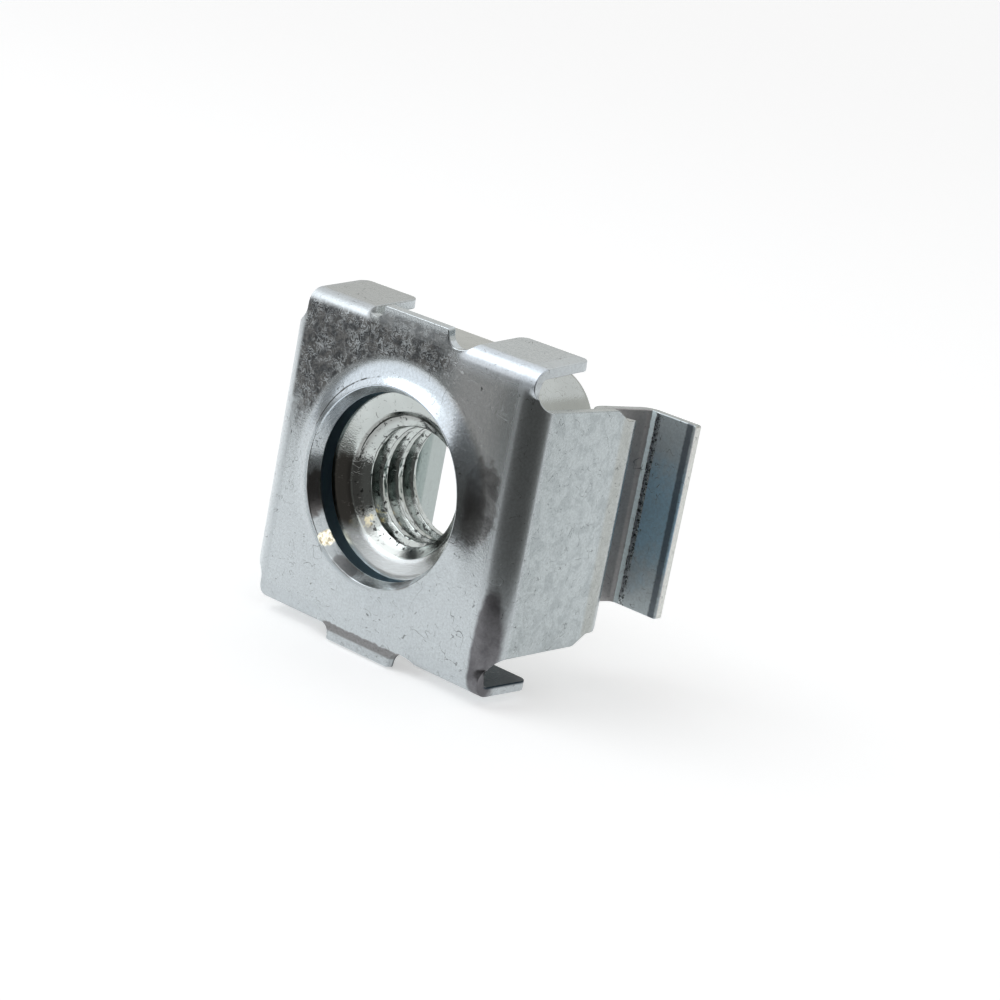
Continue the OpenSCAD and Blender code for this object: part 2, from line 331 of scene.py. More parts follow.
def inward(loop):
    """The inward normals of a counter-clockwise loop."""
    along = np.roll(loop, -1, 0) - loop
    along /= np.linalg.norm(along, axis=1)[:, None]
    mean = along + np.roll(along, 1, 0)
    mean /= np.linalg.norm(mean, axis=1)[:, None]
    return np.stack([-mean[:, 1], mean[:, 0]], 1)


def inside_loop(points, loop):
    """Which points are inside a closed loop."""
    x, y = points[:, 0][:, None], points[:, 1][:, None]
    x0, y0 = loop[:, 0][None], loop[:, 1][None]
    x1, y1 = np.roll(loop[:, 0], -1)[None], np.roll(loop[:, 1], -1)[None]
    crosses = (y0 > y) != (y1 > y)
    with np.errstate(divide="ignore", invalid="ignore"):
        at = x0 + (y - y0) * (x1 - x0) / (y1 - y0)
    return (np.sum(crosses & (x < at), axis=1) % 2) == 1


def distance_to_loop(points, loop):
    """The distance of each point from a closed loop."""
    best = np.full(len(points), 1e9)
    ends = np.roll(loop, -1, 0)
    for p0, p1 in zip(loop, ends):
        d = p1 - p0
        t = np.clip(((points - p0) @ d) / max(float(d @ d), 1e-12), 0, 1)
        best = np.minimum(best, np.linalg.norm(points - p0 - t[:, None] * d, axis=1))
    return best


def marks(segments, flat_step, bend_step=math.radians(6)):
    """Places along a chain at which the blank gets a row of points."""
    out, start = [], 0.0
    for length, curve in segments:
        step = flat_step if curve == 0 else bend_step / abs(curve)
        parts = max(1, int(math.ceil(length / step)))
        out += [start + length * k / parts for k in range(parts)]
        start += length
    return out + [start]


def grid(across, up):
    """Points in rows and columns."""
    return np.stack(np.meshgrid(across, up), -1).reshape(-1, 2)


def circle_points(radius, count, turn=1):
    """Points round a circle, counter-clockwise or, with a turn of -1, clockwise."""
    angle = np.linspace(0, TAU, count, endpoint=False)
    return radius * np.stack([np.cos(angle), turn * np.sin(angle)], -1)


def face_points(fold):
    """Rows of points across each bend, over the plate and over the tabs and tongues."""
    groups = []
    leg_rows = np.linspace(-5.4, 5.4, 28)
    for side in (1, -1):
        leg_columns = [s for s in marks(fold.leg_chain[side], 0.4) if s > 6.0]
        groups.append(grid(side * np.array(leg_columns), leg_rows))
    plate = np.arange(-6.0, 6.01, 0.4)
    groups.append(grid(plate, plate))
    tab_columns = np.arange(3.2, 6.95, 0.25)
    tab_columns = np.concatenate([tab_columns, -tab_columns])
    tongue_columns = np.arange(-3.1, 3.11, 0.12)
    tongue_rows = np.concatenate([np.arange(6.1, 6.8, 0.1), np.arange(6.8, 7.7, 0.08)])
    corner = grid(np.arange(6.0, 7.3, 0.1), np.arange(5.3, 6.6, 0.1))
    for side in (1, -1):
        tab_rows = [s for s in marks(fold.tab_chain[side], 0.35) if s > 6.2]
        groups.append(grid(tab_columns, side * np.array(tab_rows)))
        groups.append(grid(tongue_columns, side * tongue_rows))
        groups.append(corner * np.array([1, side]))
        groups.append(corner * np.array([-1, side]))
    return np.concatenate(groups)


def rim_radii(fold, hole_r):
    """The radii of the rings of points on the raised rim, closest together at its crest."""
    crest = RIM_START - fold.rim_outer[0][0]
    wall = np.arange(hole_r + 0.12, crest - 0.17, 0.06)
    top = np.arange(crest - 0.15, crest + 0.02, 0.015)
    slope = np.arange(crest + 0.05, RIM_START + 0.1, 0.05)
    return np.concatenate([wall, top, slope])


def blank_points(fold, outer, hole_r):
    """Points inside the blank, clear of its edges."""
    points = face_points(fold)
    points = points[np.hypot(points[:, 0], points[:, 1]) > RIM_START + 0.2]
    rings = [circle_points(radius, HOLE_POINTS) for radius in rim_radii(fold, hole_r)]
    points = np.concatenate([points] + rings)
    points = points[inside_loop(points, outer)]
    points = points[distance_to_loop(points, outer) > 0.05]
    points = points[np.hypot(points[:, 0], points[:, 1]) > hole_r + 0.1]
    # Points closer together than a hair are one point
    hair = 0.012
    _, first = np.unique(np.round(points / hair).astype(int), axis=0, return_index=True)
    return points[np.sort(first)]


def edge_profile(radius, thickness, parts=3):
    """The rounded edge of the sheet: (inset, depth, turn from the outer face) for each ring."""
    out = []
    for k in range(parts + 1):
        turn = math.pi / 2 * k / parts
        out.append((radius * (1 - math.sin(turn)), radius * (1 - math.cos(turn)), turn))
    for k in range(parts + 1):
        turn = math.pi / 2 * k / parts
        out.append((radius * (1 - math.cos(turn)),
                    thickness - radius * (1 - math.sin(turn)), math.pi / 2 + turn))
    return out


def blank_faces(fold, rims, hole_r, radius):
    """Fills the blank between its rims with triangles.

    Gives the points, the triangles and, for each point of the rims, its number among the points.
    """
    fixed = np.concatenate(rims + [blank_points(fold, rims[0], hole_r)])
    edges, start = [], 0
    for rim in rims:
        count = len(rim)
        edges += [(start + i, start + (i + 1) % count) for i in range(count)]
        start += count
    made = delaunay_2d_cdt([Vector(p) for p in fixed.tolist()], edges, [], 0, 1e-6)
    points = np.array([tuple(v) for v in made[0]])
    faces = np.array([f for f in made[2] if len(f) == 3])
    source = {}
    for new, origins in enumerate(made[3]):
        for old in origins:
            source[old] = new
    centre = points[faces].mean(1)
    past_hole = np.hypot(centre[:, 0], centre[:, 1]) > hole_r + radius * 0.9
    faces = faces[inside_loop(centre, rims[0]) & past_hole]
    corners = points[faces]
    area = np.cross(corners[:, 1] - corners[:, 0], corners[:, 2] - corners[:, 0])
    faces[area < 0] = faces[area < 0][:, ::-1]
    return points, faces, source


def folded_sheet(name, sheet):
    """Builds the cage: the blank's two faces and its rounded edges, folded into place."""
    fold = FoldMap(sheet)
    t, radius = sheet.thickness, sheet.edge_round
    hole_r = fold.hole_radius()
    outline, hole = blank_outline(fold), circle_points(hole_r, HOLE_POINTS, -1)
    loops = [(outline, inward(outline)), (hole, inward(hole))]
    rims = [loop + radius * normal for loop, normal in loops]
    points, faces, source = blank_faces(fold, rims, hole_r, radius)
    count = len(points)
    a, b = points[:, 0], points[:, 1]
    front, _, _, normal = fold.place(a, b, 0.0)
    rear = fold.place(a, b, t)[0]
    places, normals = [front, rear], [normal, -normal]
    spots = [np.stack([a, b, np.zeros(count)], -1), np.stack([a, b, np.full(count, t)], -1)]
    polygons = [tuple(f) for f in faces] + [tuple(f[::-1] + count) for f in faces]
    profile = edge_profile(radius, t)
    total, start = 2 * count, 0
    for loop, normal_in in loops:
        size = len(loop)
        ring = [source[start + i] for i in range(size)]
        rows = [ring]
        for inset, depth, turn in profile[1:-1]:
            spot = loop + inset * normal_in
            place, da, db, out = fold.place(spot[:, 0], spot[:, 1], depth)
            side = -(da * normal_in[:, :1] + db * normal_in[:, 1:])
            side /= np.linalg.norm(side, axis=1)[:, None]
            places.append(place)
            spots.append(np.column_stack([spot, np.full(size, depth)]))
            normals.append(math.cos(turn) * out + math.sin(turn) * side)
            rows.append(list(range(total, total + size)))
            total += size
        rows.append([r + count for r in ring])
        for upper, lower in zip(rows, rows[1:]):
            for i in range(size):
                j = (i + 1) % size
                polygons.append((upper[j], upper[i], lower[i], lower[j]))
        start += size
    piece = solid(name, np.concatenate(places) * MM, polygons, np.concatenate(normals))
    # Each point keeps its place in the flat blank, for the finish to follow
    blank = piece.data.attributes.new("blank", "FLOAT_VECTOR", "POINT")
    blank.data.foreach_set("vector", np.concatenate(spots).ravel())
    return piece


def solid(name, places, polygons, normals=None):
    """A mesh object from points and faces, shaded with the given normals."""
    mesh = bpy.data.meshes.new(name)
    polygons = [tuple(int(i) for i in polygon) for polygon in polygons]
    mesh.from_pydata([tuple(p) for p in places.tolist()], [], polygons)
    if mesh.validate():
        raise RuntimeError(name + " has faces that can't be used")
    mesh.polygons.foreach_set("use_smooth", [True] * len(mesh.polygons))
    if normals is not None:
        mesh.normals_split_custom_set_from_vertices([tuple(n) for n in normals.tolist()])
    piece = bpy.data.objects.new(name, mesh)
    bpy.context.scene.collection.objects.link(piece)
    return piece


# ---------------------------------------------------------------- the nut

# The nut's faces, its collar and the dish in the collar's face
NUT_FRONT, NUT_REAR, COLLAR_Y, COLLAR_R, DISH = 1.16, 5.26, 0.76, 4.12, 0.29
# The countersinks: radius of the mouth, and how fast the radius shrinks with depth
MOUTH_R, MOUTH_SLOPE, REAR_MOUTH_R, REAR_MOUTH_SLOPE = 3.24, 1.15, 3.5, 1.4
# Small radii: the collar's edge, the hollow at its root and the edges of the square
COLLAR_EDGE, COLLAR_ROOT, SQUARE_EDGE = 0.04, 0.06, 0.17
# The thread: where its turn starts, the shares of a pitch taken by crest and flank, its roughness
THREAD_TURN, CREST_SHARE, FLANK_SHARE, THREAD_ROUGH = 0.4, 0.3, 0.5, 0.022
# Points in each ring of the nut, and rings along its bore
RING_POINTS, BORE_RINGS = 240, 200


def square_ring(angle, half, corner):
    """A rounded square, one point for each angle."""
    c, s = np.abs(np.cos(angle)), np.abs(np.sin(angle))
    core = half - corner
    flat = half / np.maximum(c, s)
    near = np.minimum(c, s) * flat <= core
    along = core * (c + s)
    arc = along + np.sqrt(np.maximum(along ** 2 - 2 * core ** 2 + corner ** 2, 0))
    return np.where(near, flat, arc)


def unevenness(angle, y):
    """How far a cut surface strays at each angle round the bore, from -1 to 1."""
    spots = [Vector((3.2 * math.cos(t), 2.2 * y, 3.2 * math.sin(t))) * 2.6 for t in angle]
    return np.array([noise.noise(spot) for spot in spots])


def bore_ring(nut, angle, y):
    """The bore's radius at each angle: thread, with a countersink at both ends."""
    phase = (y / nut.pitch + angle / TAU + THREAD_TURN) % 1.0
    wave = np.clip((np.abs(phase - 0.5) * 2 - CREST_SHARE) / FLANK_SHARE, 0, 1)
    thread = nut.crest_r + (nut.root_r - nut.crest_r) * wave + THREAD_ROUGH * unevenness(angle, y)
    rear_cone = REAR_MOUTH_R - REAR_MOUTH_SLOPE * (NUT_REAR - y)
    front_cone = MOUTH_R - MOUTH_SLOPE * (y - COLLAR_Y - DISH)
    return np.maximum(thread, max(rear_cone, front_cone))


def threaded_nut(name, nut):
    """Builds the nut as one closed skin of rings, from the thread outwards and back."""
    count = RING_POINTS
    angle = np.linspace(0, TAU, count, endpoint=False)
    quarter_turns = [math.pi / 2 * k / 4 for k in range(5)]
    half = nut.width / 2
    rings = []

    def circle(radius, y):
        rings.append((np.full(count, radius), np.full(count, y)))

    def outline(inset, y):
        corner = nut.corner_r - inset * 0.4
        rings.append((square_ring(angle, half - inset, corner), np.full(count, y)))

    # The dished face, then the collar's edge and its root
    dish_r = COLLAR_R - COLLAR_EDGE - 0.01
    for share in (0, 0.25, 0.5, 0.75, 1):
        circle(MOUTH_R + (dish_r - MOUTH_R) * share, COLLAR_Y + DISH * (1 - share))
    for turn in quarter_turns[1:]:
        circle(COLLAR_R - COLLAR_EDGE * (1 - math.sin(turn)),
               COLLAR_Y + COLLAR_EDGE * (1 - math.cos(turn)))
    circle(COLLAR_R, NUT_FRONT - COLLAR_ROOT)
    circle(COLLAR_R + COLLAR_ROOT / 4, NUT_FRONT - COLLAR_ROOT / 4)
    circle(COLLAR_R + COLLAR_ROOT, NUT_FRONT)
    circle(COLLAR_R + 2 * COLLAR_ROOT, NUT_FRONT)
    # The square, from its front face round its edges to its rear face
    face_insets = (1.2, SQUARE_EDGE + 0.05)
    for inset in face_insets:
        outline(inset, NUT_FRONT)
    for turn in quarter_turns:
        outline(SQUARE_EDGE * (1 - math.sin(turn)), NUT_FRONT + SQUARE_EDGE * (1 - math.cos(turn)))
    outline(0, NUT_FRONT + 0.3)
    outline(0, NUT_REAR - 0.3)
    for turn in quarter_turns:
        outline(SQUARE_EDGE * (1 - math.cos(turn)), NUT_REAR - SQUARE_EDGE * (1 - math.sin(turn)))
    for inset in reversed(face_insets):
        outline(inset, NUT_REAR)
    circle(REAR_MOUTH_R + 0.2, NUT_REAR)
    circle(REAR_MOUTH_R + 0.03, NUT_REAR)
    # The bore, from the rear to the front
    for y in np.linspace(NUT_REAR, COLLAR_Y + DISH, BORE_RINGS, endpoint=False):
        rings.append((bore_ring(nut, angle, y), np.full(count, y)))
    places = np.concatenate([
        np.stack([r * np.cos(angle), y, r * np.sin(angle)], -1) for r, y in rings])
    polygons = []
    for i in range(len(rings)):
        j = (i + 1) % len(rings)
        for k in range(count):
            m = (k + 1) % count
            polygons.append((i * count + k, i * count + m, j * count + m, j * count + k))
    return solid(name, places * MM, polygons)


# ---------------------------------------------------------------- finishes

def new_group(name, inputs, outputs):
    """An empty node group with its sockets, and its input and output nodes."""
    group = bpy.data.node_groups.new(name, "ShaderNodeTree")
    for label, kind, value in inputs:
        socket = group.interface.new_socket(name=label, in_out="INPUT", socket_type=kind)
        socket.default_value = value
    for label in outputs:
        group.interface.new_socket(name=label, in_out="OUTPUT", socket_type="NodeSocketFloat")
    return group, group.nodes.new("NodeGroupInput").outputs, group.nodes.new("NodeGroupOutput").inputs


class Wiring:
    """Short calls that add and join nodes in one tree."""

    def __init__(self, tree):
        self.tree = tree

    def add(self, kind, values=None, **settings):
        node = self.tree.nodes.new(kind)
        for key, value in settings.items():
            setattr(node, key, value)
        for key, value in (values or {}).items():
            self.feed(value, node.inputs[key])
        return node

    def feed(self, value, socket):
        """Joins an output to a socket, or sets the socket's own value."""
        if hasattr(value, "is_output"):
            self.tree.links.new(value, socket)
        else:
            socket.default_value = value

    def noise(self, where, scale, detail=3.0, rough=0.5, distortion=0.0):
        return self.add("ShaderNodeTexNoise", {
            "Vector": where, "Scale": scale, "Detail": detail, "Roughness": rough,
            "Distortion": distortion}).outputs["Fac"]

    def ramp(self, value, start, end, first, last):
        """A smooth passage from one level to another while the value goes from start to end."""
        return self.add("ShaderNodeMapRange", {
            "Value": value, "From Min": start, "From Max": end, "To Min": first, "To Max": last},
            interpolation_type="SMOOTHSTEP").outputs["Result"]

    def rise(self, value, none, full):
        """A mask that grows from 0 at one value to 1 at a higher one."""
        return self.ramp(value, none, full, 0.0, 1.0)

    def fade(self, value, full, none):
        """A mask that sinks from 1 at one value to 0 at a higher one."""
        return self.ramp(value, full, none, 1.0, 0.0)

    def band(self, value, middle, full, none):
        """A mask round a middle value: 1 within one distance of it and 0 beyond another."""
        return self.fade(self.math("ABSOLUTE", self.math("SUBTRACT", value, middle)), full, none)

    def math(self, kind, a, b=0.0):
        return self.add("ShaderNodeMath", {0: a, 1: b}, operation=kind).outputs[0]

    def product(self, first, *others):
        for other in others:
            first = self.math("MULTIPLY", first, other)
        return first

    def most(self, first, *others):
        """The largest of several values."""
        for other in others:
            first = self.math("MAXIMUM", first, other)
        return first

    def vector(self, kind, a, b=(0, 0, 0)):
        return self.add("ShaderNodeVectorMath", {0: a, 1: b}, operation=kind).outputs[0]

    def scaled(self, vector, scale):
        return self.add("ShaderNodeVectorMath", {0: vector, "Scale": scale}, operation="SCALE").outputs[0]

    def parts(self, vector):
        return self.add("ShaderNodeSeparateXYZ", {0: vector}).outputs

    def length(self, vector):
        return self.add("ShaderNodeVectorMath", {0: vector}, operation="LENGTH").outputs["Value"]

    def mix(self, share, a, b):
        return self.add("ShaderNodeMix", {0: share, 6: a, 7: b}, data_type="RGBA").outputs[2]


def position(w):
    """The place on the part, in millimetres."""
    return w.scaled(w.add("ShaderNodeTexCoord").outputs["Object"], 1000.0)


def figure_group():
    """Worm-like crystals of the plating, light threads on a dark ground, and their soft clouds."""
    group, given, result = new_group(
        "Plating figure", [("Scale", "NodeSocketFloat", 1.0)], ["Threads", "Clouds"])
    w = Wiring(group)
    where = w.scaled(position(w), given["Scale"])
    worm = w.noise(where, 3.1, 3.0, 0.6, 1.6)
    w.feed(w.band(worm, 0.5, 0.0, 0.06), result["Threads"])
    w.feed(w.rise(w.noise(where, 1.1, 3.0, 0.6, 0.4), 0.36, 0.64), result["Clouds"])
    return group


def scratch_group():
    """Hair-thin curved scratches, and the fine grain of the sheet."""
    group, given, result = new_group(
        "Scratches", [("Scale", "NodeSocketFloat", 1.0)], ["Hairs", "Grain"])
    w = Wiring(group)
    where = w.scaled(position(w), given["Scale"])
    lines = []
    for size, width, shift in ((0.55, 0.0035, 3.0), (0.8, 0.005, 11.0), (1.3, 0.007, 23.0)):
        moved = w.vector("ADD", where, (shift, shift, shift))
        line = w.band(w.noise(moved, size, 2.0, 0.5, 0.6), 0.5, 0.0, width)
        broken = w.rise(w.noise(moved, size * 2.3, 1.0), 0.56, 0.62)
        lines.append(w.product(line, broken))
    w.feed(w.most(*lines), result["Hairs"])
    w.feed(w.noise(where, 9.0, 2.0, 0.65), result["Grain"])
    return group


def box_group():
    """A soft-edged box, with its middle and half sizes in millimetres."""
    group, given, result = new_group("Box", [
        ("Middle", "NodeSocketVector", (0, 0, 0)), ("Half", "NodeSocketVector", (1, 1, 1)),
        ("Soft", "NodeSocketFloat", 0.1)], ["Mask"])
    w = Wiring(group)
    size = w.vector("ABSOLUTE", w.vector("SUBTRACT", position(w), given["Middle"]))
    over = w.parts(w.vector("SUBTRACT", size, given["Half"]))
    furthest = w.most(over[0], over[1], over[2])
    w.feed(w.fade(w.math("DIVIDE", furthest, given["Soft"]), -1.0, 1.0), result["Mask"])
    return group


def soft_patch_group():
    """A soft-edged patch round a middle, with its sizes in millimetres."""
    group, given, result = new_group("Soft patch", [
        ("Middle", "NodeSocketVector", (0, 0, 0)), ("Reach", "NodeSocketVector", (1, 1, 1)),
        ("Ragged", "NodeSocketFloat", 0.3)], ["Mask"])
    w = Wiring(group)
    where = position(w)
    away = w.vector("DIVIDE", w.vector("SUBTRACT", where, given["Middle"]), given["Reach"])
    uneven = w.math("SUBTRACT", w.noise(where, 1.6, 3.0, 0.65), 0.5)
    edge = w.math("ADD", w.length(away), w.product(uneven, given["Ragged"]))
    w.feed(w.fade(edge, 0.75, 1.05), result["Mask"])
    return group


def shared(name, make):
    """A node group, built once."""
    return bpy.data.node_groups.get(name) or make()


def grouped(w, name, make, values=None):
    """Places a shared node group in a material."""
    node = w.add("ShaderNodeGroup", node_tree=shared(name, make))
    for key, value in (values or {}).items():
        node.inputs[key].default_value = value
    return node.outputs


def soft_patch(w, middle, reach, ragged):
    """A patch with an uneven edge."""
    return grouped(w, "Soft patch", soft_patch_group, {"Middle": middle, "Reach": reach, "Ragged": ragged})["Mask"]


def box(w, middle, half, soft):
    """A patch with straight sides."""
    return grouped(w, "Box", box_group, {"Middle": middle, "Half": half, "Soft": soft})["Mask"]


def start_material(name):
    """A material with one shader, ready to be wired."""
    material = bpy.data.materials.new(name)
    material.use_nodes = True
    tree = material.node_tree
    tree.nodes.clear()
    shader = tree.nodes.new("ShaderNodeBsdfPrincipled")
    output = tree.nodes.new("ShaderNodeOutputMaterial")
    tree.links.new(shader.outputs[0], output.inputs[0])
    return material, Wiring(tree), shader


def tinted(colour, share):
    """A darker tint of a colour."""
    return tuple(c * share for c in colour[:3]) + (1,)


# Colours of the marks on the sheet, real ones and painted light and shade
FOLD_HIGHLIGHT, LEFT_FOLD_SHADE, LEFT_BEND_HIGHLIGHT = (0.8, 0.88, 1, 1), (0.44, 0.46, 0.46, 1), (0.9, 0.95, 0.97, 1)
LEG_DULL, LEG_PALE, LEG_WARM = (0.40, 0.44, 0.45, 1), (0.49, 0.535, 0.545, 1), (0.42, 0.42, 0.38, 1)
TONGUE_SHADE_GREY, PALE_CORNER_HIGHLIGHT = (0.23, 0.22, 0.22, 1), (0.94, 0.96, 0.98, 1)
MOTTLED_SHADE_DARK, MOTTLED_SHADE_GREY = (0.035, 0.035, 0.037, 1), (0.14, 0.135, 0.13, 1)
RIGHT_SHADE_DARK, RIGHT_SHADE_GREY = (0.1, 0.09, 0.09, 1), (0.3, 0.3, 0.3, 1)
LOW_SHADE_DARK, LOW_SHADE_GREY = (0.08, 0.07, 0.078, 1), (0.16, 0.15, 0.16, 1)
GLINT_GOLD, GLINT_SPARK, WALL_SHADE_BROWN = (0.8, 0.7, 0.5, 1), (0.95, 1, 0.9, 1), (0.12, 0.105, 0.1, 1)
CROWN_REFLECTION_BLUE, CREST_LINE_BLACK, HAIR_GREY = (0.8, 0.9, 1, 1), (0.04, 0.04, 0.04, 1), (0.14, 0.15, 0.15, 1)
INSIDE_SHADE_GREY, NECK_SHADE_GREY, TIP_GREY = (0.31, 0.37, 0.355, 1), (0.4, 0.38, 0.38, 1), (0.66, 0.67, 0.64, 1)
LIP_REFLECTION_BLUE, LIP_REFLECTION_GREY, LIP_DARK = (0.58, 0.83, 1, 1), (0.66, 0.72, 0.75, 1), (0.13, 0.15, 0.18, 1)
CORNER_HIGHLIGHT_WHITE, CRACK_BLACK, SHARD = (0.85, 0.97, 1, 1), (0.01, 0.01, 0.012, 1), (0.7, 0.75, 0.78, 1)
POCKET_SHADE_BLUE, BLACK = (0.02, 0.035, 0.05, 1), (0, 0, 0, 1)
# Colours of the marks on the nut, real ones and painted light and shade
NUT_HAIR, GROOVE_SHADE_GREY, SPECK = (0.12, 0.12, 0.11, 1), (0.2, 0.19, 0.18, 1), (0.02, 0.02, 0.02, 1)
FACE_REFLECTION_BLUE, PAINTED_SHADE_BROWN, PALE_REFLECTION_WHITE = (0.34, 0.5, 0.6, 1), (0.085, 0.07, 0.06, 1), (0.92, 0.97, 1, 1)
NUT_CORNER, WARM_GLINT = (0.33, 0.34, 0.33, 1), (1, 0.9, 0.6, 1)
# Places in the flat blank, measured along the legs from the middle of the plate
SIDE_BEND, LEG_END, NECK_MIDDLE = 6.9, 12.85, 18.0
LIP_CORNER, LIP_CRACK, LIP_MARGIN = 19.72, 20.02, 21.8


class Coat:
    """A plating whose colour is laid on in layers."""

    def __init__(self, name, colour, shade, broad_scale, scratch_scale):
        self.material, self.w, self.shader = start_material(name)
        w = self.w
        self.scratches = grouped(w, "Scratches", scratch_group, {"Scale": scratch_scale})
        self.place = position(w)
        # The distance from the screw's axis
        self.radius = w.length(w.vector("MULTIPLY", self.place, (1, 0, 1)))
        self.broad = w.noise(self.place, broad_scale, 3.0, 0.55)
        self.base = w.mix(w.rise(self.broad, 0.35, 0.65), tinted(colour, shade), tuple(colour))

    def lay(self, colour, share, *masks):
        """Lays a colour over the rest, by a share and where all the masks hold."""
        self.base = self.w.mix(self.w.product(*masks, share), self.base, colour)

    def close(self, rough, height, bump):
        """Joins the colour, the roughness and the fine relief to the shader."""
        w = self.w
        w.feed(self.base, self.shader.inputs["Base Color"])
        w.feed(rough, self.shader.inputs["Roughness"])
        relief = w.add("ShaderNodeBump", {"Height": height, "Strength": bump, "Distance": 0.00002})
        w.feed(relief.outputs[0], self.shader.inputs["Normal"])
        return self.material


class CageCoat(Coat):
    """Bright zinc on the spring sheet. Places on it follow the flat blank, in millimetres."""

    def __init__(self, colour):
        super().__init__("Bright zinc sheet", colour, 0.9, 0.28, 1.0)
        w = self.w
        self.colour = colour
        self.figure = grouped(w, "Plating figure", figure_group)
        self.blotch = w.rise(w.noise(self.place, 1.5, 3.0, 0.6, 0.8), 0.35, 0.6)
        spot = w.parts(w.add("ShaderNodeAttribute", attribute_name="blank").outputs["Vector"])
        self.right, self.up, self.depth = spot
        self.across = w.math("ABSOLUTE", self.right)
        self.level = w.math("ABSOLUTE", self.up)
        # The outer skin, the plate's flat and the wavy run of marks that follow a bend
        self.outer = w.fade(self.depth, 0.05, 0.1)
        self.plate = box(w, (0, 0, 0), (6.5, 0.3, 6.75), 0.12)
        uneven = w.math("SUBTRACT", w.noise(self.place, 5.0, 2.0, 0.6), 0.5)
        self.wavy = w.math("ADD", self.across, w.product(uneven, 0.12))

    def clouded(self, dark, pale):
        """Two colours that meet in soft clouds."""
        return self.w.mix(self.figure["Clouds"], dark, pale)

    def blotches(self):
        """Pale blotches over a darker ground."""
        w = self.w
        self.base = w.mix(w.product(self.blotch, 0.22), tinted(self.colour, 0.86), self.base)

    def folds(self):
        """Painted light and shade at the folds of the tabs' roots, the plate's left edge and the lower
        tongue.
        """
        w = self.w
        fold = w.product(w.rise(self.level, 5.9, 6.7), w.fade(self.level, 7.15, 7.4))
        self.fold = w.product(fold, w.rise(self.across, 2.3, 3.0), self.outer)
        # Painted highlight along the upper tabs' folds
        self.lay(FOLD_HIGHLIGHT, 0.35, self.fold, w.rise(self.up, 0.0, 1.0))
        # Painted shade over the upper left tab and its fold
        left_tab = w.product(w.fade(self.right, -2.3, -2.0), w.rise(self.up, 5.9, 6.7))
        self.lay(LEFT_FOLD_SHADE, 0.6, left_tab, self.outer)
        # Painted highlight on the plate's left bend
        left_edge = w.product(w.fade(self.right, -6.9, -6.3), w.rise(self.right, -7.6, -7.4))
        self.lay(LEFT_BEND_HIGHLIGHT, 0.6, left_edge)
        # Painted shade on a band of the lower tongue
        ragged_up = w.math("ADD", self.up, w.product(w.noise(self.place, 3.0, 2.0, 0.6), 0.3))
        tongue = w.product(w.fade(ragged_up, -6.78, -6.7), w.fade(self.across, 2.2, 2.4))
        self.lay(TONGUE_SHADE_GREY, 0.8, tongue, w.rise(self.up, -7.3, -7.2))

    def legs(self):
        """The legs are duller than the plate, and warmer at their far ends."""
        w = self.w
        dull = w.mix(self.blotch, LEG_DULL, LEG_PALE)
        self.lay(dull, 0.9, w.rise(self.across, 7.4, 7.9))
        self.lay(LEG_WARM, 0.5, w.band(self.across, LEG_END, 0.2, 0.5))

    def stains_and_painted_light(self):
        """The dark patch, painted shade with the plating's own worm-like figure, smaller patches of
        painted shade on the right, and a painted highlight towards the plate's upper right corner.
        """
        w = self.w
        upper = soft_patch(w, (-4.6, 0, 5.3), (3.3, 1.6, 4.2), 0.9)
        middle = soft_patch(w, (-1.0, 0, 6.1), (3.9, 1.2, 1.25), 0.9)
        # The dark patch stays off the raised rim and runs up the tongue
        dark = w.product(w.most(upper, middle), self.plate, w.rise(self.radius, 5.45, 5.75))
        tongue = w.product(w.fade(self.across, 2.1, 2.3), w.rise(self.up, 6.6, 6.75))
        tongue = w.product(tongue, w.fade(self.up, 7.3, 7.5), self.outer, 0.75)
        self.dark = w.most(dark, tongue)
        # The patch's dark, mottled ground is painted shade; the pale worm-like threads over it are the
        # plating's own figure
        mottle = w.rise(w.noise(self.place, 2.2, 4.0, 0.7), 0.42, 0.58)
        mottled_shade = w.mix(mottle, MOTTLED_SHADE_DARK, MOTTLED_SHADE_GREY)
        worms = w.product(self.figure["Threads"], self.figure["Clouds"])
        self.lay(w.mix(worms, mottled_shade, tinted(self.colour, 0.85)), 0.88, self.dark)
        # Painted shade, clouded, right of the hole
        right = soft_patch(w, (5.3, 0, 0.9), (1.0, 1.2, 2.1), 1.1)
        self.lay(self.clouded(RIGHT_SHADE_DARK, RIGHT_SHADE_GREY), 0.75, right, self.plate)
        # Painted shade, clouded, low on the plate's right bend
        low = soft_patch(w, (6.8, 0.2, -5.1), (0.62, 1.4, 3.0), 0.35)
        self.lay(self.clouded(LOW_SHADE_DARK, LOW_SHADE_GREY), 0.85, low)
        # The plate is paler towards its upper right corner: a painted highlight
        pale = box(w, (4.0, 0, 4.6), (1.3, 0.6, 1.6), 1.0)
        self.lay(PALE_CORNER_HIGHLIGHT, 0.75, pale, self.outer)

    def raised_rim(self):
        """A painted warm glint that glows of itself, painted shade on the rim's inner wall, a painted
        bluish reflection on the crown, and a thin dark line.
        """
        w = self.w
        # A painted glint on the rim's lower left; its sparks glow though no lamp is there
        glint = soft_patch(w, (-2.82, -0.05, -3.24), (0.38, 0.6, 0.4), 1.2)
        sparks = w.product(glint, w.rise(w.noise(self.place, 5.0, 4.0, 0.7), 0.42, 0.56))
        self.lay(GLINT_GOLD, 1.0, glint)
        w.feed(w.mix(sparks, BLACK, GLINT_SPARK), self.shader.inputs["Emission Color"])
        self.shader.inputs["Emission Strength"].default_value = 0.7
        self.material.cycles.emission_sampling = "NONE"
